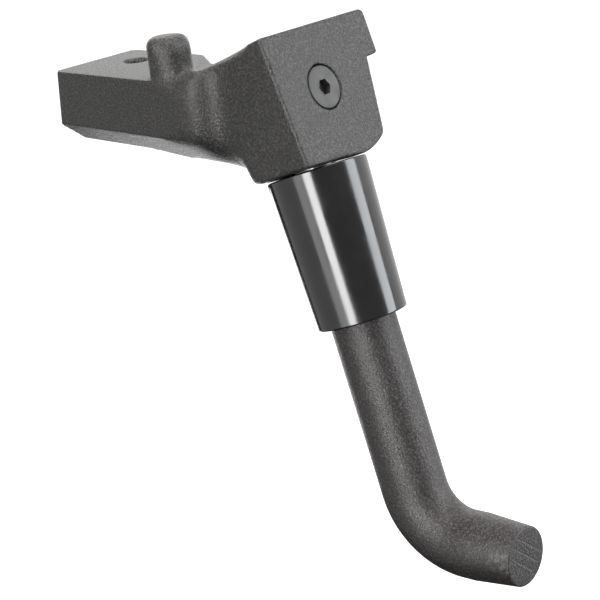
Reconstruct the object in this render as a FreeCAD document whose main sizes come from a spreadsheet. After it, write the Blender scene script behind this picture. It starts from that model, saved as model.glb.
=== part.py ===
"""Folding kickstand: cast bracket, sprung sleeve and bent leg rod, as separate parts.

Row frame, millimetres: origin on the mounting face at the deck bolt hole's axis,
+Z out of the mounting face, +X outboard along the arm, +Y the way the leg folds.
The housing is tilted about Y, so its own frame has X along the pivot axis and Z up
the housing. The leg frame is the housing frame leant about the pivot axis.
"""
import FreeCAD, Part
import math
import os
import Sketcher
from FreeCAD import Placement, Rotation, Vector

doc = FreeCAD.newDocument("kickstand")

# ---------------------------------------------------------------- sizes, millimetres and degrees
SIZES = [
    ("arm_left", 14.6, "arm end to bolt hole axis, at the mounting face"),
    ("end_draft", 2.2, "arm end further out at the foot of its wall"),
    ("arm_front", 19.0, "arm front wall to bolt hole axis"),
    ("arm_width", 31.2, "arm width in Y"),
    ("arm_block", 57.4, "arm end to the step in the front wall"),
    ("neck_setback", 6.0, "step from arm front wall to housing side wall"),
    ("neck_width", 17.0, "neck width in Y behind the step"),
    ("cut_start", 30.6, "arm end to start of the oblique rear cut"),
    ("cut_end", 41.8, "arm end to end of the oblique rear cut"),
    ("wall_height", 15.5, "arm front wall height"),
    ("keel_depth", 21.8, "arm depth at the keel"),
    ("keel_inset", 7.0, "keel edge behind the front wall"),
    ("keel_break", 29.0, "arm end to where the keel starts to deepen"),
    ("keel_end_depth", 26.4, "keel depth where it meets the housing"),
    ("neck_sill", 16.4, "lower edge of the neck's side wall below the mounting face"),
    ("neck_slope", 1.9, "drop of the neck's lower facet for each millimetre inward"),
    ("ramp_start", 47.2, "arm end to the foot of the ramp"),
    ("bolt_hole", 6.6, "deck bolt clearance hole"),
    ("bolt_seat", 11.5, "counterbore for the bolt head"),
    ("bolt_seat_depth", 8.0, "counterbore depth from the keel"),
    ("boss_along", 28.9, "locating boss along X from the bolt hole"),
    ("boss_across", 12.8, "locating boss in front of the bolt hole"),
    ("boss_size", 12.0, "locating boss diameter"),
    ("boss_height", 11.0, "locating boss height"),
    ("boss_round", 2.6, "locating boss top rounding"),
    ("boss_landing", 7.0, "radius of the flat landing round the boss"),
    ("tilt", 21.4, "housing tilt about Y"),
    ("lean", 5.8, "leg lean about the pivot axis"),
    ("pivot_along", 67.9, "pivot centre on the housing face, X"),
    ("pivot_across", 4.0, "pivot centre on the housing face, Y"),
    ("pivot_drop", 3.6, "pivot centre below the mounting face"),
    ("head_left", 17.0, "housing side wall to pivot"),
    ("head_top", 16.6, "housing top to pivot"),
    ("head_bottom", 17.5, "housing bottom left corner below the pivot"),
    ("head_depth", 23.2, "housing depth along the pivot axis"),
    ("flank", 19.7, "sloping right flank to pivot, square to the flank"),
    ("flank_slope", 12.0, "right flank slope"),
    ("cam_start", 19.4, "cam corner to pivot along the leg, leg down"),
    ("cam_rise", 5.73, "cam lift per radian of leg swing"),
    ("cam_from", 8.0, "leg swing where the cam corner begins"),
    ("cam_to", 36.0, "leg swing where the cam corner ends"),
    ("crest_round", 3.2, "rounding between the cam corner and the flank"),
    ("lip_reach", 26.0, "stop lip end to pivot"),
    ("lip_under", 3.8, "stop lip underside above pivot"),
    ("slot_width", 12.4, "leg slot between the cheeks"),
    ("slot_back", 11.2, "leg slot end wall to pivot"),
    ("slot_top", 11.2, "leg slot roof to pivot"),
    ("screw_head", 11.6, "pivot screw head diameter"),
    ("screw_seat", 12.2, "pivot screw counterbore diameter"),
    ("screw_seat_depth", 3.2, "pivot screw counterbore depth"),
    ("screw_head_height", 3.1, "pivot screw head height"),
    ("screw_key", 4.0, "pivot screw hex socket across flats"),
    ("screw_shoulder", 8.0, "pivot screw shoulder diameter"),
    ("screw_thread", 6.0, "pivot screw thread diameter"),
    ("screw_length", 18.4, "pivot screw length under the head"),
    ("eye_radius", 9.6, "knuckle eye radius"),
    ("eye_width", 9.4, "knuckle eye width"),
    ("shank_width", 11.6, "knuckle shank width and stem diameter"),
    ("shank_end", 18.9, "shank end and stem start, from pivot"),
    ("stem_end", 60.0, "stem end inside the rod, from pivot"),
    ("bush_outer", 11.0, "pivot bush outer diameter"),
    ("bush_bore", 8.1, "pivot bush bore"),
    ("washer_outer", 18.0, "thrust washer outer diameter"),
    ("washer_thick", 1.35, "thrust washer thickness"),
    ("rod_size", 18.3, "leg rod diameter, 18 bar with its coat"),
    ("rod_top", 45.0, "rod top end from pivot"),
    ("rod_straight", 111.2, "bend start from pivot"),
    ("bend_radius", 16.9, "bend radius of the rod axis"),
    ("bend_angle", 77.2, "bend angle"),
    ("foot_straight", 16.8, "straight foot beyond the bend"),
    ("foot_toe", 2.2, "foot turned about the leg"),
    ("foot_taper", 13.0, "length of the tapered foot end"),
    ("foot_end", 16.0, "foot end diameter"),
    ("foot_skew", 5.0, "foot end sawn out of square, degrees"),
    ("pin_size", 4.0, "cross pin diameter"),
    ("pin_length", 17.8, "cross pin length"),
    ("pin_place", 53.0, "cross pin from pivot"),
    ("seat_thick", 1.2, "spring seat washer thickness"),
    ("sleeve_start", 19.55, "sleeve top rim from pivot"),
    ("sleeve_length", 42.15, "sleeve length"),
    ("sleeve_top", 27.8, "sleeve outside diameter at the top rim"),
    ("sleeve_bottom", 25.4, "sleeve outside diameter at the bottom rim"),
    ("sleeve_bore", 21.4, "sleeve bore"),
    ("sleeve_crown", 3.0, "sleeve top wall thickness"),
    ("crown_hole", 12.3, "hole for the stem in the sleeve's top wall"),
    ("guide_bore", 18.4, "guide bush bore"),
    ("guide_length", 8.0, "guide bush length"),
    ("guide_inset", 0.6, "guide bush above the sleeve's bottom rim"),
    ("wire", 2.0, "spring wire diameter"),
    ("coil_mean", 16.4, "spring mean diameter"),
    ("coil_pitch", 4.6, "spring pitch"),
]
sheet = doc.addObject("Spreadsheet::Sheet", "Sizes")
for row, (alias, value, about) in enumerate(SIZES, 1):
    sheet.set("A%d" % row, about)
    sheet.set("B%d" % row, str(value))
    sheet.setAlias("B%d" % row, alias)
doc.recompute()
v = {alias: value for alias, value, _ in SIZES}


# ---------------------------------------------------------------- helpers
def bind(obj, **sizes):
    """Binds each named property to a spreadsheet expression; bare words are sizes."""
    for prop, text in sizes.items():
        obj.setExpression(prop.replace("__", "."), cells(text))


def cells(text):
    """Turns bare size names in an expression into spreadsheet references."""
    out, word = "", ""
    for ch in text + " ":
        if ch.isalpha() or ch == "_":
            word += ch
            continue
        out += ("Sizes." + word) if word in v else word
        out += ch
        word = ""
    return out.strip()


def value_of(text):
    """The number an expression gives with the sheet's present values."""
    sheet.set("C1", "=" + "".join(cells(text).replace("Sizes.", "")))
    doc.recompute()
    return float(sheet.get("C1"))


def cylinder(name, radius, height, place=None):
    obj = doc.addObject("Part::Cylinder", name)
    bind(obj, Radius=radius, Height=height)
    obj.Placement = place or Placement()
    return obj


def cone(name, first, second, height, place=None):
    obj = doc.addObject("Part::Cone", name)
    bind(obj, Radius1=first, Radius2=second, Height=height)
    obj.Placement = place or Placement()
    return obj


def box(name, length, width, height, place=None):
    obj = doc.addObject("Part::Box", name)
    bind(obj, Length=length, Width=width, Height=height)
    obj.Placement = place or Placement()
    return obj


def profile(name, corners, height, place=None):
    """A prism on a dimensioned polygon: corners are pairs of expressions."""
    sketch = doc.addObject("Sketcher::SketchObject", name + "_outline")
    pts = [Vector(value_of(a), value_of(b), 0) for a, b in corners]
    count = len(pts)
    for i in range(count):
        sketch.addGeometry(Part.LineSegment(pts[i], pts[(i + 1) % count]), False)
    for i in range(count):
        sketch.addConstraint(Sketcher.Constraint("Coincident", i, 2, (i + 1) % count, 1))
    for i, (a, b) in enumerate(corners):
        for kind, text, number in (("DistanceX", a, pts[i].x), ("DistanceY", b, pts[i].y)):
            index = sketch.addConstraint(Sketcher.Constraint(kind, -1, 1, i, 1, number))
            if any(ch.isalpha() for ch in text):
                sketch.setExpression("Constraints[%d]" % index, cells(text))
    sketch.Placement = place or Placement()
    prism = doc.addObject("Part::Extrusion", name)
    prism.Base = sketch
    prism.DirMode = "Normal"
    prism.Solid = True
    bind(prism, LengthFwd=height)
    return prism


def chain(kind, name, base, tools):
    """Applies a boolean with each tool in turn; the last step carries the name."""
    for i, tool in enumerate(tools, 1):
        obj = doc.addObject(kind, name if i == len(tools) else "%s_step%d" % (name, i))
        obj.Base, obj.Tool = base, tool
        base = obj
    return base


def join(name, base, *shapes):
    return chain("Part::Fuse", name, base, shapes)


def cut(name, base, *tools):
    return chain("Part::Cut", name, base, tools)


def rounded(name, base, picks):
    """Rounds edges of base: picks are (test on an edge, radius in mm)."""
    doc.recompute()
    obj = doc.addObject("Part::Fillet", name)
    obj.Base = base
    obj.Edges = [(i, r, r) for i, edge in enumerate(base.Shape.Edges, 1)
                 for test, r in picks if test(edge)]
    return obj


def along(edge, direction):
    """True for a straight edge that runs along a direction."""
    if edge.Curve.TypeId != "Part::GeomLine":
        return False
    return abs(abs(edge.Curve.Direction.dot(direction)) - 1) < 1e-3


def node(label, obj, place=None):
    obj.Label = label
    if place is not None:
        obj.Placement = place
    NODES.append(obj)
    return obj


NODES = []
ALONG_X = Rotation(Vector(0, 0, 1), Vector(1, 0, 0))     # local Z laid along X
YZ_PLANE = Rotation(Vector(0, 1, 0), Vector(0, 0, 1), Vector(1, 0, 0), "ZXY")
XZ_PLANE = Rotation(Vector(1, 0, 0), 90)                 # sketch X, Y on X, Z; grows to -Y

left, front = -v["arm_left"], -v["arm_front"]
head = Placement(Vector(v["pivot_along"], v["pivot_across"], -v["pivot_drop"]),
                 Rotation(Vector(0, 1, 0), -v["tilt"]))
leg = head * Placement(Vector(-v["head_depth"] / 2, 0, 0), Rotation(Vector(1, 0, 0), -v["lean"]))


def in_head(x=0, y=0, z=0, turn=Rotation()):
    return head * Placement(Vector(x, y, z), turn)


# ---------------------------------------------------------------- bracket casting, arm
plan = profile("arm_plan", [
    ("-arm_left - 4", "-arm_front"),
    ("arm_block - arm_left", "-arm_front"),
    ("arm_block - arm_left", "neck_setback - arm_front"),
    ("arm_block - arm_left + 12", "neck_setback - arm_front"),
    ("arm_block - arm_left + 12", "neck_setback + neck_width - arm_front"),
    ("cut_end - arm_left", "neck_setback + neck_width - arm_front"),
    ("cut_start - arm_left", "arm_width - arm_front"),
    ("-arm_left - 4", "arm_width - arm_front")], "60", Placement(Vector(0, 0, -45), Rotation()))
side = profile("arm_side", [
    ("-arm_left", "0"),
    ("ramp_start - arm_left", "0"),
    ("ramp_start - arm_left + 20", "20 * tan(tilt)"),
    ("ramp_start - arm_left + 20", "-keel_end_depth"),
    ("keel_break - arm_left", "-keel_depth"),
    ("-arm_left", "-keel_depth"),
    ("-arm_left - end_draft", "-wall_height")], "arm_width + 2",
    Placement(Vector(0, v["arm_width"] - v["arm_front"] + 1, 0), XZ_PLANE))
arm_block = doc.addObject("Part::MultiCommon", "arm_block_form")
arm_block.Shapes = [plan, side]

# facets under the front and rear walls, the front one again behind the step
slope = "(keel_depth - wall_height) / keel_inset"
facet = [("-arm_front - 3", "-wall_height + 3 * %s" % slope),
         ("-arm_front + 15", "-wall_height - 15 * %s" % slope),
         ("-arm_front + 15", "-45"), ("-arm_front - 3", "-45")]
rear = [("arm_width - arm_front + 3", "-wall_height + 3 * %s" % slope),
        ("arm_width - arm_front - 12", "-wall_height - 12 * %s" % slope),
        ("arm_width - arm_front - 12", "-45"), ("arm_width - arm_front + 3", "-45")]
facet_front = profile("facet_front", facet, "arm_block + 6",
                      Placement(Vector(left - 6, 0, 0), YZ_PLANE))
neck_side = "neck_setback - arm_front"
facet_neck = profile("facet_neck", [
    (neck_side + " - 3", "-neck_sill + 3 * neck_slope"),
    (neck_side + " + 12", "-neck_sill - 12 * neck_slope"),
    (neck_side + " + 12", "-45"),
    (neck_side + " - 3", "-45")], "20", Placement(Vector(left + v["arm_block"], 0, 0), YZ_PLANE))
facet_rear = profile("facet_rear", rear, "arm_block + 20", Placement(Vector(left - 6, 0, 0), YZ_PLANE))
arm = cut("arm_form", arm_block, facet_front, facet_neck, facet_rear)


def end_edge(edge):
    """The two steep corners of the arm's drafted end."""
    return (edge.Curve.TypeId == "Part::GeomLine" and edge.BoundBox.XMax < left + 0.1
            and edge.BoundBox.ZMax > -0.1 and edge.BoundBox.ZLength > v["wall_height"] / 2)


def step_edge(edge):
    """The upright corner where the front wall steps back to the neck."""
    return (along(edge, Vector(0, 0, 1)) and abs(edge.BoundBox.XMin - left - v["arm_block"]) < 0.1
            and abs(edge.BoundBox.YMin - front) < 0.1)


def oblique_edge(edge):
    """The upright corner at the start of the oblique rear cut."""
    return along(edge, Vector(0, 0, 1)) and abs(edge.BoundBox.XMin - left - v["cut_start"]) < 0.1


arm = rounded("arm_rounded", arm, [(end_edge, 2.2), (oblique_edge, 2.2), (step_edge, 3.0)])

knee = profile("knee", [
    ("arm_block - arm_left + 1", "-wall_height + 4"),
    ("arm_block - arm_left + 3", "-wall_height - 0.9"),
    ("arm_block - arm_left + 4.6", "-wall_height - 1.6"),
    ("arm_block - arm_left + 6.1", "-wall_height - 3.2"),
    ("arm_block - arm_left + 7.2", "-wall_height - 6.6"),
    ("arm_block - arm_left + 12", "-wall_height - 6.6"),
    ("arm_block - arm_left + 12", "-wall_height + 4")], "neck_width",
    Placement(Vector(0, front + v["neck_setback"] + v["neck_width"], 0), XZ_PLANE))

# ---------------------------------------------------------------- bracket casting, housing
def cam_point(swing):
    """Where the cam corner touches the sleeve's rim: an involute, so the lift follows the swing."""
    turn = math.radians(swing - v["lean"])
    reach = v["cam_start"] + v["cam_rise"] * math.radians(swing)
    return (reach * math.sin(turn) + v["cam_rise"] * math.cos(turn),
            v["cam_rise"] * math.sin(turn) - reach * math.cos(turn))


CAM_STEPS = 6
cam = [cam_point(v["cam_from"] + (v["cam_to"] - v["cam_from"]) * i / CAM_STEPS)
       for i in range(CAM_STEPS + 1)]
housing = profile("housing", [
    ("-head_left", "head_top"),
    ("lip_reach", "head_top"),
    ("lip_reach - 0.3", "lip_under"),
    ("flank / cos(flank_slope) + tan(flank_slope) * lip_under", "lip_under")] + [
    ("%.4f" % u, "%.4f" % w) for u, w in reversed(cam)] + [
    ("-head_left", "-head_bottom")], "head_depth",
    head * Placement(Vector(-v["head_depth"], 0, 0), YZ_PLANE))
axis_x = head.Rotation.multVec(Vector(1, 0, 0))


def head_corner(spot, reach=0.6):
    """A test for the housing edge along the pivot axis at a Y, Z place in its frame."""
    def test(edge):
        if not along(edge, axis_x):
            return False
        at = head.inverse().multVec(edge.CenterOfMass)
        return math.hypot(at.y - spot[0], at.z - spot[1]) < reach
    return test


housing = rounded("housing_rounded", housing, [
    (head_corner(cam[-1]), v["crest_round"]),
    (head_corner((v["lip_reach"], v["head_top"])), 1.6),
    (head_corner((v["lip_reach"] - 0.3, v["lip_under"])), 0.8),
    (head_corner((-v["head_left"], v["head_top"])), 1.2),
    (head_corner((-v["head_left"], -v["head_bottom"])), 0.8)])


def face_edge(edge):
    """The outline of the housing's front face, except where the lip meets the flank."""
    at = [head.inverse().multVec(p.Point) for p in edge.Vertexes]
    return all(abs(p.x) < 0.01 for p in at)


housing = rounded("housing_softened", housing, [(face_edge, 0.7)])

boss_body = cylinder("boss_body", "boss_size / 2", "boss_height + 6",
                     Placement(Vector(v["boss_along"], -v["boss_across"], -6), Rotation()))
boss = rounded("boss", boss_body, [(lambda e: e.BoundBox.ZMin > 1, v["boss_round"])])
landing = cylinder("boss_landing_tool", "boss_landing", "10",
                   Placement(Vector(v["boss_along"], -v["boss_across"], 0), Rotation()))
body = join("casting_form", cut("casting_landed", join("casting_plain", arm, housing, knee), landing), boss)

# ---------------------------------------------------------------- bracket casting, openings
bolt = cylinder("bolt_hole_tool", "bolt_hole / 2", "60", Placement(Vector(0, 0, -40), Rotation()))
seat = cylinder("bolt_seat_tool", "bolt_seat / 2", "20",
                Placement(Vector(0, 0, -20 - v["keel_depth"] + v["bolt_seat_depth"]), Rotation()))
lead = cone("bolt_lead_tool", "bolt_hole / 2", "bolt_hole / 2 + 0.7", "0.7",
            Placement(Vector(0, 0, -0.7), Rotation()))
slot = profile("leg_slot_tool", [
    ("-slot_back", "slot_top"),
    ("slot_top - 2", "slot_top"),
    ("slot_top + 1.4", "lip_under + 0.2"),
    ("40", "lip_under + 0.2"),
    ("40", "-40"),
    ("-slot_back", "-40")], "slot_width",
    head * Placement(Vector(-(v["head_depth"] + v["slot_width"]) / 2, 0, 0), YZ_PLANE))
screw_seat = cylinder("screw_seat_tool", "screw_seat / 2", "10",
                      in_head(x=-v["screw_seat_depth"], turn=ALONG_X))
shoulder_end = (v["head_depth"] + v["slot_width"]) / 2 + 1.2
shoulder_bore = cylinder("shoulder_bore_tool", "screw_shoulder / 2", "40",
                         in_head(x=-shoulder_end, turn=ALONG_X))
thread_bore = cylinder("thread_bore_tool", "screw_thread / 2", "60",
                       in_head(x=-v["screw_seat_depth"] - v["screw_length"] - 0.6, turn=ALONG_X))
casting = cut("bracket_casting_shape", body, bolt, seat, lead, slot, screw_seat,
              shoulder_bore, thread_bore)
node("bracket_casting", casting)

# ---------------------------------------------------------------- pivot screw
screw_head = cylinder("screw_head_form", "screw_head / 2", "screw_head_height",
                      Placement(Vector(-v["screw_seat_depth"], 0, 0), ALONG_X))
screw_body = cylinder("screw_shoulder_form", "screw_shoulder / 2",
                      "(head_depth + slot_width) / 2 + 1.2 - screw_seat_depth",
                      Placement(Vector(-shoulder_end, 0, 0), ALONG_X))
screw_tail = cylinder("screw_thread_form", "screw_thread / 2", "screw_length",
                      Placement(Vector(-v["screw_seat_depth"] - v["screw_length"], 0, 0), ALONG_X))
screw_form = join("screw_form", screw_head, screw_body, screw_tail)
socket = doc.addObject("Part::Prism", "screw_socket_tool")
socket.Polygon = 6
bind(socket, Circumradius="screw_key / sqrt(3)", Height="10")
socket.Placement = Placement(Vector(v["screw_head_height"] - v["screw_seat_depth"] - 2.2, 0, 0), ALONG_X)
node("pivot_screw", cut("pivot_screw_shape", screw_form, socket), head)

# ---------------------------------------------------------------- leg knuckle, bush and washers
eye = cylinder("eye_form", "eye_radius", "eye_width", Placement(Vector(-v["eye_width"] / 2, 0, 0), ALONG_X))
shank = box("shank_form", "eye_width", "shank_width", "shank_end",
            Placement(Vector(-v["eye_width"] / 2, -v["shank_width"] / 2, -v["shank_end"]), Rotation()))
stem = cylinder("stem_form", "shank_width / 2", "stem_end - shank_end",
                Placement(Vector(0, 0, -v["stem_end"]), Rotation()))
eye_bore = cylinder("eye_bore_tool", "bush_outer / 2", "40", Placement(Vector(-20, 0, 0), ALONG_X))
stem_pin = cylinder("stem_pin_tool", "pin_size / 2", "40",
                    Placement(Vector(-20, 0, -v["pin_place"]), ALONG_X))
knuckle_form = join("knuckle_form", eye, shank, stem)
node("leg_knuckle", cut("leg_knuckle_shape", knuckle_form, eye_bore, stem_pin), leg)


def ring(label, outer, inner, thick, place):
    """A plain ring standing on its local Z axis."""
    name = label + "_shape"
    solid = cylinder(name + "_outer", outer, thick)
    hole = cylinder(name + "_hole", inner, thick + " + 2", Placement(Vector(0, 0, -1), Rotation()))
    return node(label, cut(name, solid, hole), leg * place)


ring("pivot_bush", "bush_outer / 2", "bush_bore / 2", "eye_width",
     Placement(Vector(-v["eye_width"] / 2, 0, 0), ALONG_X))
ring("thrust_washer_outer", "washer_outer / 2", "screw_shoulder / 2 + 0.3", "washer_thick",
     Placement(Vector(v["eye_width"] / 2, 0, 0), ALONG_X))
ring("thrust_washer_inner", "washer_outer / 2", "screw_shoulder / 2 + 0.3", "washer_thick",
     Placement(Vector(-v["eye_width"] / 2 - v["washer_thick"], 0, 0), ALONG_X))

# ---------------------------------------------------------------- leg rod with its bent foot
shaft = cylinder("rod_shaft", "rod_size / 2", "rod_straight - rod_top",
                 Placement(Vector(0, 0, -v["rod_straight"]), Rotation()))
bend = doc.addObject("Part::Torus", "rod_bend")
bind(bend, Radius1="bend_radius", Radius2="rod_size / 2", Angle3="bend_angle")
bend.Angle1, bend.Angle2 = -180, 180
bend_centre = Placement(Vector(v["bend_radius"], 0, -v["rod_straight"]), Rotation())
bend.Placement = bend_centre * Placement(Vector(), Rotation(Vector(1, 0, 0), -90) * Rotation(
    Vector(0, 0, 1), 180 - v["bend_angle"]))
toe = bend_centre * Placement(Vector(), Rotation(Vector(0, 1, 0), -v["bend_angle"])) * Placement(
    Vector(-v["bend_radius"], 0, 0), Rotation(Vector(1, 0, 0), 180))
foot = cylinder("rod_foot", "rod_size / 2", "foot_straight - foot_taper", toe)
foot_cone = cone("rod_foot_taper", "rod_size / 2", "foot_end / 2", "foot_taper",
                 toe * Placement(Vector(0, 0, v["foot_straight"] - v["foot_taper"]), Rotation()))
foot_stub = cylinder("rod_foot_stub", "foot_end / 2", "2",
                     toe * Placement(Vector(0, 0, v["foot_straight"]), Rotation()))
saw = box("rod_saw_tool", "40", "40", "10",
          toe * Placement(Vector(0, 0, v["foot_straight"]), Rotation(Vector(1, 0, 0), -v["foot_skew"]))
          * Placement(Vector(-20, -20, 0), Rotation()))
rod_bore = cylinder("rod_bore_tool", "shank_width / 2", "stem_end + 1",
                    Placement(Vector(0, 0, -v["stem_end"] - 1), Rotation()))
rod_pin = cylinder("rod_pin_tool", "pin_size / 2", "40",
                   Placement(Vector(-20, 0, -v["pin_place"]), ALONG_X))
turned = leg * Placement(Vector(), Rotation(Vector(0, 0, 1), v["foot_toe"]))
rod_form = join("rod_form", shaft, bend, foot, foot_cone, foot_stub)
node("leg_rod", cut("leg_rod_shape", rod_form, rod_bore, rod_pin, saw), turned)
pin = cylinder("rod_cross_pin_shape", "pin_size / 2", "pin_length")
node("rod_cross_pin", pin, turned * Placement(Vector(-v["pin_length"] / 2, 0, -v["pin_place"]), ALONG_X))
ring("spring_seat_washer", "rod_size / 2 + 0.75", "shank_width / 2 + 0.1", "seat_thick",
     Placement(Vector(0, 0, -v["rod_top"]), Rotation()))

# ---------------------------------------------------------------- sprung sleeve, guide bush and spring
sleeve_low = v["sleeve_start"] + v["sleeve_length"]
skin = cone("sleeve_skin", "sleeve_bottom / 2", "sleeve_top / 2", "sleeve_length")
skin_soft = rounded("sleeve_skin_soft", skin, [(lambda e: e.Curve.TypeId == "Part::GeomCircle", 0.5)])
cavity = cylinder("sleeve_cavity_tool", "sleeve_bore / 2", "sleeve_length - sleeve_crown + 5",
                  Placement(Vector(0, 0, -5), Rotation()))
crown = cylinder("sleeve_crown_tool", "crown_hole / 2", "sleeve_length + 5")
node("spring_sleeve", cut("spring_sleeve_shape", skin_soft, cavity, crown),
     leg * Placement(Vector(0, 0, -sleeve_low), Rotation()))
ring("sleeve_guide_bush", "sleeve_bore / 2", "guide_bore / 2", "guide_length",
     Placement(Vector(0, 0, v["guide_inset"] - sleeve_low), Rotation()))

coil_top = v["sleeve_start"] + v["sleeve_crown"] + v["wire"] / 2 + 0.1
coil_low = v["rod_top"] - v["seat_thick"] - v["wire"] / 2 - 0.1
coil = doc.addObject("Part::Helix", "spring_path")
bind(coil, Pitch="coil_pitch", Radius="coil_mean / 2")
coil.Height = coil_low - coil_top
coil.SegmentLength = 1
doc.recompute()
wire_ring = doc.addObject("Sketcher::SketchObject", "spring_wire_outline")
wire_ring.addGeometry(
    Part.Circle(Vector(v["coil_mean"] / 2, 0, 0), Vector(0, 0, 1), v["wire"] / 2), False)
wire_ring.Placement = Placement(Vector(), XZ_PLANE)
spring = doc.addObject("Part::Sweep", "sleeve_spring_shape")
spring.Sections = [wire_ring]
spring.Spine = (coil, ["Edge%d" % i for i, _ in enumerate(coil.Shape.Edges, 1)])
spring.Solid, spring.Frenet = True, True
doc.recompute()
node("sleeve_spring", spring, leg * Placement(Vector(0, 0, -coil_low), Rotation()))

# ---------------------------------------------------------------- recompute, check and export
doc.recompute()
for obj in doc.Objects:
    assert "Invalid" not in obj.State and "Error" not in obj.State, obj.Name + str(obj.State)
os.makedirs("parts", exist_ok=True)
for obj in NODES:
    assert not obj.Shape.isNull() and obj.Shape.isValid(), obj.Label
    assert len(obj.Shape.Solids) == 1, (obj.Label, len(obj.Shape.Solids))
    obj.Shape.exportStep("parts/%s.step" % obj.Label)
    bb = obj.Shape.BoundBox
    print("%-22s vol %9.1f  X %6.1f..%6.1f  Y %6.1f..%6.1f  Z %7.1f..%6.1f" % (
        obj.Label, obj.Shape.Volume, bb.XMin, bb.XMax, bb.YMin, bb.YMax, bb.ZMin, bb.ZMax))
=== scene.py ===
"""Looks of the folding kickstand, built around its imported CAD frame."""

import math

import bmesh
import bpy
from mathutils import Matrix, Vector


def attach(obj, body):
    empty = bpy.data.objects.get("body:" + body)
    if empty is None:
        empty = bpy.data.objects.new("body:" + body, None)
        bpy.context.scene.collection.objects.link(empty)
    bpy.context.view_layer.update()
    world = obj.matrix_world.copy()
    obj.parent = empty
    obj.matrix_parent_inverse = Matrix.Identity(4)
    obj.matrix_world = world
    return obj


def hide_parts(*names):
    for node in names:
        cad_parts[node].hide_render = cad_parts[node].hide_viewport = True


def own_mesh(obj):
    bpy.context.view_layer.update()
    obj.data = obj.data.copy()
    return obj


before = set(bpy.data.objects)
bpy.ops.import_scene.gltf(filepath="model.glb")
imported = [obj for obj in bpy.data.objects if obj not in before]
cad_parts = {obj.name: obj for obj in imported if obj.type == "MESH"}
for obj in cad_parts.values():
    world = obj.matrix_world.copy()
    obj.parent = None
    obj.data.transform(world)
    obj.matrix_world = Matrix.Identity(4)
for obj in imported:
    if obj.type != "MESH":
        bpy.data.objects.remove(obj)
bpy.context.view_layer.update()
MM = 0.001

# Frames of the tilted housing and of the leg; the leg's local -Z runs down the leg.
TILT, LEAN, TOE = math.radians(21.4), math.radians(5.8), math.radians(2.2)
PIVOT = Vector((67.9, 4.0, -3.6)) * MM
HEAD_DEPTH = 23.2
HEAD = Matrix.Translation(PIVOT) @ Matrix.Rotation(-TILT, 4, "Y")
LEG = HEAD @ Matrix.Translation((-HEAD_DEPTH / 2 * MM, 0, 0)) @ Matrix.Rotation(-LEAN, 4, "X")
ROD = LEG @ Matrix.Rotation(TOE, 4, "Z")

# Sizes in millimetres; places along the leg are measured from the pivot.
ROD_RADIUS, ROD_TOP, ROD_STRAIGHT = 9.15, 45.0, 111.2
BEND_RADIUS, BEND_ANGLE = 16.9, math.radians(77.2)
FOOT_STRAIGHT, FOOT_TAPER, FOOT_RADIUS = 16.8, 13.0, 8.0
FOOT_SKEW = math.radians(5)
FOOT_OUT = Vector((0, -math.sin(FOOT_SKEW), -math.cos(FOOT_SKEW)))
SCORE_TURN = math.radians(129.5)      # the saw marks' direction in the foot's end face
SCORE_ALONG = Vector((math.cos(SCORE_TURN), math.sin(SCORE_TURN), 0))
SCORE_ACROSS = Vector((-math.sin(SCORE_TURN), math.cos(SCORE_TURN), 0))
SCORES = ((3.05, -6.4, 5.4), (0.25, -6.4, 5.7), (-2.5, -4.6, 4.9))    # offset, from, to
SCORE_WIDTH, SCORE_DEPTH = 0.32, 0.07
SLEEVE_START, SLEEVE_LENGTH = 19.55, 42.15
SLEEVE_TOP, SLEEVE_BOTTOM, SLEEVE_BORE = 13.9, 12.7, 10.7
SLEEVE_CROWN, CROWN_HOLE = 3.0, 6.15
BORE_RADIUS, BORE_END = 5.8, 61.0     # for the knuckle's stem, in the rod's top
SHOULDER_RADIUS, SHOULDER_END = 4.0, 19.0
THREAD_RADIUS, SCREW_END = 3.0, 21.6
COIL_RADIUS, COIL_PITCH, COIL_START, COIL_TURNS = 8.2, 4.6, 42.7, 19.05 / 4.6
WIRE_RADIUS = 1.0
CAST_VOXEL = 0.45
BOLT_BORE = 3.5
WORN_BACK, WORN_AT = 3.2, Vector((1.6, -8.1, 0))      # the rubbed patch, back from the foot's end


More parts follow.
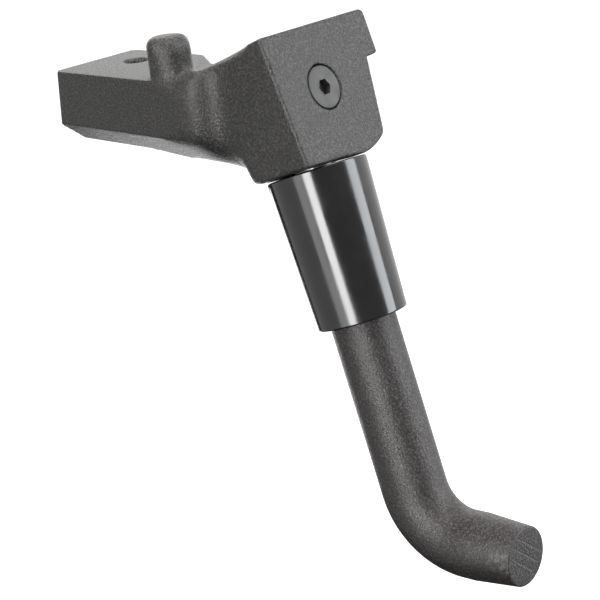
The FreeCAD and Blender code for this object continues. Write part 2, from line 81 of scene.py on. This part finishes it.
# ------------------------------------------------------------------ node materials
class Nodes:
    """A small builder for one procedural material."""

    def __init__(self, name, **settings):
        self.mat = bpy.data.materials.new(name)
        self.mat.use_nodes = True
        self.tree = self.mat.node_tree
        self.shader = self.tree.nodes["Principled BSDF"]
        for key, value in settings.items():
            self.shader.inputs[key.replace("_", " ")].default_value = value
        self.where = self.add("ShaderNodeTexCoord").outputs["Object"]

    def add(self, kind, **props):
        made = self.tree.nodes.new(kind)
        for key, value in props.items():
            setattr(made, key, value)
        return made

    def link(self, a, b):
        self.tree.links.new(a, b)

    def noise(self, scale, detail=3.0, rough=0.5):
        made = self.add("ShaderNodeTexNoise")
        self.link(self.where, made.inputs["Vector"])
        made.inputs["Scale"].default_value = scale
        made.inputs["Detail"].default_value = detail
        made.inputs["Roughness"].default_value = rough
        return made.outputs["Fac"]

    def near(self, spot):
        """The distance in metres to a spot on the part."""
        made = self.add("ShaderNodeVectorMath", operation="DISTANCE")
        self.link(self.where, made.inputs[0])
        made.inputs[1].default_value = spot
        return made.outputs["Value"]

    def across(self, spot, way, reach):
        """How far a place lies from a spot along a direction: -reach to reach becomes 0 to 1."""
        offset = self.add("ShaderNodeVectorMath", operation="SUBTRACT")
        self.link(self.where, offset.inputs[0])
        offset.inputs[1].default_value = spot
        dot = self.add("ShaderNodeVectorMath", operation="DOT_PRODUCT")
        self.link(offset.outputs["Vector"], dot.inputs[0])
        dot.inputs[1].default_value = way
        share = self.add("ShaderNodeMapRange")
        self.link(dot.outputs["Value"], share.inputs["Value"])
        share.inputs["From Min"].default_value, share.inputs["From Max"].default_value = -reach, reach
        return share.outputs["Result"]

    def beside(self, low):
        """The distance in metres from the upright axis, or over a metre above a height."""
        flat = self.add("ShaderNodeVectorMath", operation="MULTIPLY")
        self.link(self.where, flat.inputs[0])
        flat.inputs[1].default_value = (1, 1, 0)
        size = self.add("ShaderNodeVectorMath", operation="LENGTH")
        self.link(flat.outputs["Vector"], size.inputs[0])
        parts = self.add("ShaderNodeSeparateXYZ")
        self.link(self.where, parts.inputs["Vector"])
        above = self.add("ShaderNodeMath", operation="GREATER_THAN")
        self.link(parts.outputs["Z"], above.inputs[0])
        above.inputs[1].default_value = low
        far = self.add("ShaderNodeMath", operation="ADD")
        self.link(size.outputs["Value"], far.inputs[0])
        self.link(above.outputs["Value"], far.inputs[1])
        return far.outputs["Value"]

    def ramp(self, source, stops):
        made = self.add("ShaderNodeValToRGB")
        self.link(source, made.inputs["Fac"])
        ramp = made.color_ramp
        while len(ramp.elements) < len(stops):
            ramp.elements.new(0.5)
        for element, (at, colour) in zip(ramp.elements, stops):
            element.position = at
            element.color = (*colour, 1)
        return made.outputs["Color"]

    def mix(self, fac, a, b, mode="MIX"):
        made = self.add("ShaderNodeMix", data_type="RGBA", blend_type=mode)
        for socket, value in ((made.inputs[0], fac), (made.inputs[6], a), (made.inputs[7], b)):
            if hasattr(value, "links"):
                self.link(value, socket)
            else:
                socket.default_value = value if isinstance(value, float) else (*value, 1)
        return made.outputs[2]

    def grey(self, source, low, high):
        """A grey ramp used for roughness."""
        return self.ramp(source, [(0.3, (low,) * 3), (0.7, (high,) * 3)])

    def bump(self, height, strength, distance):
        made = self.add("ShaderNodeBump")
        made.inputs["Strength"].default_value = strength
        made.inputs["Distance"].default_value = distance
        self.link(height, made.inputs["Height"])
        self.link(made.outputs["Normal"], self.shader.inputs["Normal"])

    def done(self, colour, rough):
        self.link(colour, self.shader.inputs["Base Color"])
        self.link(rough, self.shader.inputs["Roughness"])
        return self.mat


def textured_coat(name, dark, light, strength, worn_at=None, shaded_bore=None, sawn=None):
    """Textured powder coat: fine pebbles with paler tips, in faintly uneven tone.

    The coat is rubbed paler round the spot worn_at. Inside an upright bore of the given radius in metres,
    the colour is painted near black as painted shade for the dark hole. Sawn is the frame of an end face,
    whose saw scores are painted paler as a painted highlight along the grooves.
    """
    n = Nodes(name, Specular_IOR_Level=0.3)
    pebbles = n.noise(1900.0, 3.0, 0.6)
    between = tuple(0.7 * a + 0.3 * b for a, b in zip(dark, light))
    base = n.ramp(pebbles, [(0.40, dark), (0.53, between), (0.64, light)])
    blotch = n.ramp(n.noise(60.0, 4.0), [(0.35, (0.94, 0.94, 0.94)), (0.65, (1.0, 1.0, 1.0))])
    tone = n.mix(1.0, base, blotch, "MULTIPLY")
    # Painted shade: inside the bolt bore the colour is painted near black, standing in for the shade in
    # the hole.
    if shaded_bore:
        inside = n.ramp(n.beside(-0.0004), [(shaded_bore * 0.98, (1, 1, 1)), (shaded_bore, (0, 0, 0))])
        tone = n.mix(inside, tone, (0.008, 0.008, 0.008))
    if worn_at:
        rubbed = n.ramp(n.near(worn_at), [(0.0020, (1, 1, 1)), (0.0040, (0, 0, 0))])
        scuff = n.ramp(n.noise(700.0, 3.0), [(0.40, (0, 0, 0)), (0.60, (0.8, 0.8, 0.8))])
        tone = n.mix(n.mix(1.0, rubbed, scuff, "MULTIPLY"), tone, (0.42, 0.41, 0.40))
    # Painted highlight: the scores are real shallow grooves, but their paler colour is painted to stand
    # in for light caught along them.
    if sawn:
        tone = n.mix(saw_score_highlight(n, sawn), tone, (0.30, 0.29, 0.285))
    n.bump(pebbles, strength, 0.00030)
    return n.done(tone, n.grey(n.noise(1800.0, 2.0), 0.30, 0.44))


def saw_score_highlight(n, foot):
    """Where the painted highlight along the saw scores shows on the foot's end face, from 0 to 1."""
    spot, turn = foot.translation, foot.to_3x3()
    reach, depth, line_share = FOOT_RADIUS, 2, 90         # a line is 2/90 of the face's width
    lines = n.ramp(n.across(spot, turn @ SCORE_ACROSS, reach * MM), [
        (0.5 - offset / (2 * reach) + side / line_share, (level,) * 3)
        for offset, _, _ in SCORES for side, level in ((-1, 0), (0, 0.8), (1, 0))])
    ends = n.ramp(n.across(spot, turn @ SCORE_ALONG, reach * MM), [
        (0.10, (0, 0, 0)), (0.16, (1, 1, 1)), (0.80, (1, 1, 1)), (0.84, (0, 0, 0))])
    face = n.ramp(n.across(spot, turn @ FOOT_OUT, depth * MM), [(0.44, (0, 0, 0)), (0.46, (1, 1, 1))])
    return n.mix(1.0, n.mix(1.0, lines, ends, "MULTIPLY"), face, "MULTIPLY")


def machined(name, colour, rough, metallic=1.0, wear=0.25):
    """A machined surface with fine scratches and a slightly uneven finish."""
    n = Nodes(name, Metallic=metallic)
    marks = n.noise(900.0, 4.0, 0.7)
    tone = n.ramp(marks, [(0.3, tuple(c * (1 - wear) for c in colour)), (0.7, colour)])
    n.bump(marks, 0.12, 0.00008)
    return n.done(tone, n.grey(n.noise(260.0, 3.0), rough * 0.8, rough * 1.25))


def black_plating():
    """Gloss black plating over drawn tube: faint ripple and a faintly uneven tone."""
    n = Nodes("gloss_black_plating", IOR=1.6)
    ripple = n.noise(70.0, 2.0)
    n.bump(ripple, 0.12, 0.0006)
    tone = n.ramp(n.noise(300.0, 4.0), [(0.45, (0.006, 0.006, 0.007)), (0.75, (0.014, 0.014, 0.016))])
    return n.done(tone, n.grey(n.noise(120.0, 3.0), 0.12, 0.20))


# ------------------------------------------------------------------ mesh helpers
def arc(middle, radius, start, stop, steps=6):
    """Points of an arc: (radius, along) pairs, angles in degrees."""
    return [(middle[0] + radius * math.cos(math.radians(start + (stop - start) * i / steps)),
             middle[1] + radius * math.sin(math.radians(start + (stop - start) * i / steps)))
            for i in range(steps + 1)]


def down(along):
    """A ring plane on a straight local axis, along millimetres down it."""
    return Matrix.Translation((0, 0, -along * MM))


def loft(name, rings, where=down, sides=96, ring_closed=False, carve=None):
    """Skins rings of (radius, along); radius may be a function of the angle.

    A ring of radius 0 is a pole. where(along) gives the ring's plane, and
    carve(x, y, along) may move a point along the axis.
    """
    bm = bmesh.new()
    rows = []
    for radius, along in rings:
        row = []
        for i in range(1 if radius == 0 else sides):
            angle = 2 * math.pi * i / sides
            reach = radius(angle) if callable(radius) else radius
            x, y = reach * math.cos(angle), reach * math.sin(angle)
            at = carve(x, y, along) if carve else along
            row.append(bm.verts.new(where(at) @ Vector((x * MM, y * MM, 0))))
        rows.append(row)
    pairs = list(zip(rows, rows[1:])) + ([(rows[-1], rows[0])] if ring_closed else [])
    for one, two in pairs:
        for i in range(sides):
            j = (i + 1) % sides
            corners = [one[i % len(one)], one[j % len(one)], two[j % len(two)], two[i % len(two)]]
            bm.faces.new(list(dict.fromkeys(corners)))
    bmesh.ops.recalc_face_normals(bm, faces=bm.faces)
    mesh = bpy.data.meshes.new(name)
    bm.to_mesh(mesh)
    bm.free()
    return mesh


def piece(name, mesh, material, body, stands_for, place=Matrix(), sharp=35):
    """Puts a mesh in the scene in place of a CAD node, on the node's body."""
    mesh.transform(place)
    mesh.materials.clear()
    mesh.materials.append(material)
    mesh.shade_smooth()
    mesh.set_sharp_from_angle(angle=math.radians(sharp))
    obj = bpy.data.objects.new(name, mesh)
    bpy.context.collection.objects.link(obj)
    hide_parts(stands_for)
    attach(obj, body)
    return obj


# ------------------------------------------------------------------ bracket casting
def cast_skin(node, voxel):
    """The casting with its cast edges and inner corners softened."""
    rough = bpy.data.objects.new("rough_casting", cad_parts[node].data.copy())
    bpy.context.collection.objects.link(rough)
    remesh = rough.modifiers.new("remesh", "REMESH")
    remesh.mode, remesh.voxel_size = "VOXEL", voxel
    graph = bpy.context.evaluated_depsgraph_get()
    mesh = bpy.data.meshes.new_from_object(rough.evaluated_get(graph))
    bpy.data.objects.remove(rough)
    for softness, passes in ((step_softness, 480), (ridge_softness, 90), (edge_softness, 36)):
        mesh = softened(mesh, softness, passes)
    return mesh


def softened(mesh, softness, passes):
    """Smooths a mesh, each point by its own share."""
    soft = bpy.data.objects.new("soft_casting", mesh)
    bpy.context.collection.objects.link(soft)
    group = soft.vertex_groups.new(name="cast")
    for vertex in mesh.vertices:
        group.add([vertex.index], softness(vertex.co / MM), "REPLACE")
    smooth = soft.modifiers.new("smooth", "SMOOTH")
    smooth.factor, smooth.iterations, smooth.vertex_group = 0.5, passes, "cast"
    graph = bpy.context.evaluated_depsgraph_get()
    mesh = bpy.data.meshes.new_from_object(soft.evaluated_get(graph))
    bpy.data.objects.remove(soft)
    return mesh


# Where the softening is strongest, and how far it reaches.
STEP, STEP_REACH = Vector((42.8, -16.5)), 15.0        # the arm's front wall steps back to the neck
RIDGE, RIDGE_LOW, RIDGE_REACH = -17.0, -16.5, 7.0     # in the housing's frame
ARM_END, ARM_END_REACH = -14.6, 6.0
SEAT_KEPT, SEAT_DEPTH, BOLT_KEPT = 7.2, -4.5, 5.0     # kept crisp round the seat and the bolt hole
PLATEAU = 1.6                                         # widens the middle of a softened spot


def fade(distance, reach):
    """Full strength at a spot, falling to nothing at its reach."""
    return min(max(PLATEAU * (1 - distance / reach), 0), 1)


def edge_softness(at):
    """Cast edges are a little round all over, but crisp by the screw's seat and the bolt hole."""
    in_head = HEAD.inverted() @ (at * MM) / MM
    crisp = (math.hypot(in_head.y, in_head.z) < SEAT_KEPT and in_head.x > SEAT_DEPTH
             or math.hypot(at.x, at.y) < BOLT_KEPT)
    return 0.04 if crisp else 0.5


def ridge_softness(at):
    """The housing's left front ridge and the arm's top end edge are well rounded."""
    in_head = HEAD.inverted() @ (at * MM) / MM
    ridge = fade(math.hypot(in_head.x, in_head.y - RIDGE), RIDGE_REACH)
    end = fade(math.hypot(at.x - ARM_END, at.z), ARM_END_REACH)
    return max(end, ridge * min(max((in_head.z - RIDGE_LOW) / 5, 0), 1))


def step_softness(at):
    """The step from the arm's front wall to the neck has one large soft blend."""
    return fade((at.xy - STEP).length, STEP_REACH)


# ------------------------------------------------------------------ pivot screw
def screw_mesh():
    """A flush low head with a hex socket, on its shoulder and thread."""
    head_radius, key, top, seat = 5.8, 3.9, 0.1, 3.2

    def hexagon(angle):
        """Half the key's width, out to the hexagon's side in this direction."""
        return key / 2 / math.cos((angle + math.pi / 6) % (math.pi / 3) - math.pi / 6)

    rings = [(0, 2.9), (1.2, 2.45), (hexagon, 2.3), (hexagon, top + 0.06), (2.4, top)]
    rings += [(3.6, top), (4.6, top), (head_radius - 0.45, top)]
    rings += arc((head_radius - 0.4, top + 0.4), 0.4, -90, 0)
    rings += [(head_radius, seat), (SHOULDER_RADIUS, seat), (SHOULDER_RADIUS, SHOULDER_END)]
    rings += [(THREAD_RADIUS, SHOULDER_END), (THREAD_RADIUS, SCREW_END - 0.3)]
    rings += [(THREAD_RADIUS - 0.4, SCREW_END), (0, SCREW_END)]
    return loft("pivot_screw_detail", rings)


# ------------------------------------------------------------------ leg rod and its foot
def rod_place(along):
    """The plane across the rod at a distance from the pivot along its axis."""
    if along <= ROD_STRAIGHT:
        return Matrix.Translation((0, 0, -along * MM))
    turn = min((along - ROD_STRAIGHT) / BEND_RADIUS, BEND_ANGLE)
    past = along - ROD_STRAIGHT - turn * BEND_RADIUS
    centre = Matrix.Translation((BEND_RADIUS * MM, 0, -ROD_STRAIGHT * MM))
    return (centre @ Matrix.Rotation(-turn, 4, "Y")
            @ Matrix.Translation((-BEND_RADIUS * MM, 0, -past * MM)))


ROD_END = ROD_STRAIGHT + BEND_RADIUS * BEND_ANGLE + FOOT_STRAIGHT


def saw_cut(x, y, along):
    """Turns the foot's end out of square and scores its face."""
    share = max(0, 1 - (ROD_END - along) / FOOT_TAPER)
    skewed = along + share * y * math.tan(FOOT_SKEW)
    if along < ROD_END:
        return skewed
    u = x * math.cos(SCORE_TURN) + y * math.sin(SCORE_TURN)
    w = y * math.cos(SCORE_TURN) - x * math.sin(SCORE_TURN)
    for offset, start, stop in SCORES:
        off = abs(w + offset)
        if off < SCORE_WIDTH and start < u < stop:
            return skewed - SCORE_DEPTH * (1 - off / SCORE_WIDTH)
    return skewed


def rod_mesh():
    """The bar from its bored top, through the bend, to the tapered foot end."""
    rings = [(0, BORE_END), (BORE_RADIUS, BORE_END), (BORE_RADIUS, ROD_TOP + 0.6)]
    rings += [(BORE_RADIUS + 0.4, ROD_TOP), (ROD_RADIUS - 0.5, ROD_TOP), (ROD_RADIUS, ROD_TOP + 0.5)]
    rings += [(ROD_RADIUS, along) for along in range(50, int(ROD_STRAIGHT), 5)]
    steps = 40
    rings += [(ROD_RADIUS, ROD_STRAIGHT + BEND_RADIUS * BEND_ANGLE * i / steps) for i in range(steps + 1)]
    edge, steps = 0.45, 14
    for i in range(steps + 1):
        share = i / steps
        rings.append((ROD_RADIUS + (FOOT_RADIUS - ROD_RADIUS) * share,
                      ROD_END - FOOT_TAPER + (FOOT_TAPER - edge) * share))
    rings += arc((FOOT_RADIUS - edge, ROD_END - edge), edge, 0, 90, 4)[1:-1]
    face = 38
    rings += [((FOOT_RADIUS - edge) * (1 - i / face), ROD_END) for i in range(face)]
    rings.append((0, ROD_END))
    return loft("leg_rod_detail", rings, rod_place, 168, carve=saw_cut)


# ------------------------------------------------------------------ sprung sleeve
def sleeve_mesh():
    """The tapered sleeve: rounded rims, a crown with the stem's hole, and its cavity."""
    low = SLEEVE_START + SLEEVE_LENGTH
    rings = [(CROWN_HOLE, SLEEVE_START + 0.3), (CROWN_HOLE + 0.3, SLEEVE_START), (9.0, SLEEVE_START)]
    rings += arc((SLEEVE_TOP - 0.5, SLEEVE_START + 0.5), 0.5, -90, 0)
    steps = 24
    rings += [(SLEEVE_TOP + (SLEEVE_BOTTOM - SLEEVE_TOP) * i / steps,
               SLEEVE_START + 1.6 + (SLEEVE_LENGTH - 2.8) * i / steps) for i in range(steps + 1)]
    rings += arc((SLEEVE_BOTTOM - 0.6, low - 0.6), 0.6, 0, 90)
    rings += [(SLEEVE_BORE + 0.4, low), (SLEEVE_BORE, low - 0.4)]
    rings += [(SLEEVE_BORE, SLEEVE_START + SLEEVE_CROWN), (CROWN_HOLE, SLEEVE_START + SLEEVE_CROWN)]
    return loft("spring_sleeve_detail", rings, sides=192, ring_closed=True)


# ------------------------------------------------------------------ spring inside the sleeve
def coil_place(along):
    """The plane across the wire, along turns of the coil."""
    turn = Matrix.Rotation(2 * math.pi * along, 4, "Z")
    rise = Matrix.Translation((0, 0, (COIL_PITCH * along - COIL_START) * MM))
    tip = Matrix.Rotation(-math.atan2(COIL_PITCH, 2 * math.pi * COIL_RADIUS), 4, "X")
    out = Matrix.Translation((COIL_RADIUS * MM, 0, 0))
    return rise @ turn @ out @ Matrix.Rotation(-math.pi / 2, 4, "X") @ tip


def coil_mesh():
    """The wire's rings along its turns, closed at both ends."""
    steps = 240
    wire = [(WIRE_RADIUS, COIL_TURNS * i / steps) for i in range(steps + 1)]
    return loft("sleeve_spring_detail", [(0, 0.0)] + wire + [(0, COIL_TURNS)], coil_place, 20)


# ------------------------------------------------------------------ the pieces
# The casting's coat carries painted shade, near black, inside the bolt hole.
COAT = textured_coat("powder_coat_cast", (0.042, 0.040, 0.038), (0.200, 0.192, 0.184), 0.80,
                     shaded_bore=BOLT_BORE * MM)
worn_spot = ROD @ rod_place(ROD_END - WORN_BACK) @ (WORN_AT * MM)
ROD_COAT = textured_coat("powder_coat_rod", (0.042, 0.037, 0.036), (0.180, 0.163, 0.157), 0.65,
                         worn_at=tuple(worn_spot), sawn=ROD @ rod_place(ROD_END))
GLOSS = black_plating()
SCREW = machined("black_oxide", (0.066, 0.064, 0.062), 0.5, metallic=0.0, wear=0.2)
ZINC = machined("zinc_plate", (0.60, 0.60, 0.61), 0.34)
SPRING = machined("spring_steel", (0.42, 0.42, 0.44), 0.30)
BRONZE = machined("sintered_bronze", (0.55, 0.38, 0.20), 0.42)
NYLON = machined("black_nylon", (0.030, 0.030, 0.031), 0.5, metallic=0.0)

for node, material in (("leg_knuckle", ZINC), ("pivot_bush", BRONZE), ("thrust_washer_outer", NYLON),
                       ("thrust_washer_inner", NYLON), ("rod_cross_pin", ZINC),
                       ("spring_seat_washer", ZINC), ("sleeve_guide_bush", NYLON)):
    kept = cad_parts[node].data
    kept.materials.clear()
    kept.materials.append(material)

piece("casting_skin", cast_skin("bracket_casting", CAST_VOXEL * MM), COAT, "bracket",
      "bracket_casting", sharp=180)
piece("pivot_screw_detail", screw_mesh(), SCREW, "bracket", "pivot_screw",
      HEAD @ Matrix.Rotation(math.pi / 2, 4, "Y"))
piece("leg_rod_detail", rod_mesh(), ROD_COAT, "leg", "leg_rod", ROD)
piece("spring_sleeve_detail", sleeve_mesh(), GLOSS, "sleeve", "spring_sleeve", LEG)
coil = piece("sleeve_spring_detail", coil_mesh(), SPRING, "leg", "sleeve_spring", LEG)
leg_down = LEG.to_3x3() @ Vector((0, 0, -1))
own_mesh(coil)

# ------------------------------------------------------------------ stage, lights and camera
AZIMUTH, ELEVATION, ROLL = math.radians(41.96), math.radians(23.81), math.radians(-5.65)
EYE, LENS, SENSOR = Vector((244.53, -210.38, 59.16)), 64.43, 36
FLOOR, FLOOR_SIZE = -0.42, 8          # metres
back = Vector((math.sin(AZIMUTH) * math.cos(ELEVATION), -math.cos(AZIMUTH) * math.cos(ELEVATION),
               math.sin(ELEVATION)))
right = Vector((math.cos(AZIMUTH), math.sin(AZIMUTH), 0))
up = back.cross(right)
right, up = (right * math.cos(ROLL) + up * math.sin(ROLL), up * math.cos(ROLL) - right * math.sin(ROLL))
eye = EYE * MM
cam_data = bpy.data.cameras.new("camera")
cam_data.sensor_width = SENSOR
cam_data.lens = LENS
cam = bpy.data.objects.new("camera", cam_data)
cam.matrix_world = Matrix.Translation(eye) @ Matrix((right, up, back)).transposed().to_4x4()
bpy.context.collection.objects.link(cam)
bpy.context.scene.camera = cam
bpy.context.scene.view_settings.view_transform = "Standard"

floor_mat = Nodes("pale_floor", Emission_Color=(1, 1, 1, 1), Emission_Strength=0.92)
floor_mat.done(floor_mat.ramp(floor_mat.noise(6.0), [(0, (0.80, 0.80, 0.80)), (1, (0.83, 0.83, 0.83))]),
               floor_mat.grey(floor_mat.noise(9.0), 0.85, 0.95))
bpy.ops.mesh.primitive_plane_add(size=FLOOR_SIZE, location=(0.05, 0, FLOOR))
floor = bpy.context.object
floor.name = "floor"
floor.data.materials.append(floor_mat.mat)
floor.visible_diffuse = floor.visible_glossy = False     # white to look at, with no light from below


def studio_world(axis, middle, swing):
    """A plain room, brighter towards an axis by swing; looked at directly, it is white."""
    world = bpy.data.worlds.new("studio")
    world.use_nodes = True
    tree = world.node_tree
    where = tree.nodes.new("ShaderNodeTexCoord")
    dot = tree.nodes.new("ShaderNodeVectorMath")
    dot.operation = "DOT_PRODUCT"
    dot.inputs[1].default_value = axis.normalized()
    spread = tree.nodes.new("ShaderNodeMapRange")
    spread.inputs["From Min"].default_value, spread.inputs["From Max"].default_value = -middle / swing, 1
    spread.inputs["To Min"].default_value, spread.inputs["To Max"].default_value = 0, middle + swing
    tree.links.new(where.outputs["Generated"], dot.inputs[0])
    tree.links.new(dot.outputs["Value"], spread.inputs["Value"])
    room = tree.nodes["Background"]
    room.inputs["Color"].default_value = (1, 1, 1, 1)
    tree.links.new(spread.outputs["Result"], room.inputs["Strength"])
    white = tree.nodes.new("ShaderNodeBackground")
    white.inputs["Color"].default_value = (1, 1, 1, 1)
    seen = tree.nodes.new("ShaderNodeLightPath")
    either = tree.nodes.new("ShaderNodeMixShader")
    tree.links.new(seen.outputs["Is Camera Ray"], either.inputs["Fac"])
    tree.links.new(room.outputs["Background"], either.inputs[1])
    tree.links.new(white.outputs["Background"], either.inputs[2])
    tree.links.new(either.outputs["Shader"], tree.nodes["World Output"].inputs["Surface"])
    bpy.context.scene.world = world


def softbox(name, place, target, size, power, colour=(1, 1, 1), along=None, glossy_only=False):
    """A rectangular area light aimed at a point; along turns its long side."""
    data = bpy.data.lights.new(name, "AREA")
    data.shape, data.size, data.size_y = "RECTANGLE", size[0], size[1]
    data.energy, data.color = power, colour
    obj = bpy.data.objects.new(name, data)
    look = (Vector(place) - Vector(target)).normalized()
    side = (Vector(along) if along else Vector((0, 0, 1))).cross(look).normalized()
    obj.matrix_world = (Matrix.Translation(place)
                        @ Matrix((side, look.cross(side), look)).transposed().to_4x4())
    obj.visible_diffuse, obj.visible_camera = not glossy_only, False
    bpy.context.collection.objects.link(obj)
    return obj


studio_world(Vector((0.62, 0.05, 0.78)), 0.24, 0.22)
middle = Vector((0.06, 0, -0.03))
softbox("key", middle + Vector((0.02, 0.05, 0.80)), middle, (0.6, 0.6), 5.0)
softbox("backdrop", middle + Vector((-0.46, 0.36, 0.12)), middle, (0.7, 0.4), 1.5, glossy_only=True)
softbox("below_neck", Vector((-0.148, 0.126, -0.205)), Vector((0.035, -0.015, -0.018)), (0.16, 0.16),
        0.26, glossy_only=True)

# Strip lights stand round the sleeve, each turned from the camera's side of it by an angle.
STRIP_LENGTH, STRIP_AWAY = 0.9, 0.6
sleeve_middle = LEG @ Vector((0, 0, -(SLEEVE_START + SLEEVE_LENGTH / 2) * MM))
towards = (eye - sleeve_middle)
towards = (towards - leg_down * towards.dot(leg_down)).normalized()
for name, degrees, width, power, colour in (("strip_front", -25, 0.19, 8.0, (1, 1, 1)),
                                            ("strip_shoulder", -46, 0.22, 1.5, (1, 1, 1)),
                                            ("strip_left", -86, 1.15, 2.3, (1, 1, 1)),
                                            ("strip_rim", 135, 0.90, 2.6, (1, 1, 1)),
                                            ("strip_side", 81, 0.28, 6.2, (0.93, 0.965, 1.0))):
    way = Matrix.Rotation(math.radians(degrees), 3, -leg_down) @ towards
    softbox(name, sleeve_middle + way * STRIP_AWAY, sleeve_middle, (width, STRIP_LENGTH), power, colour,
            along=leg_down, glossy_only=True)
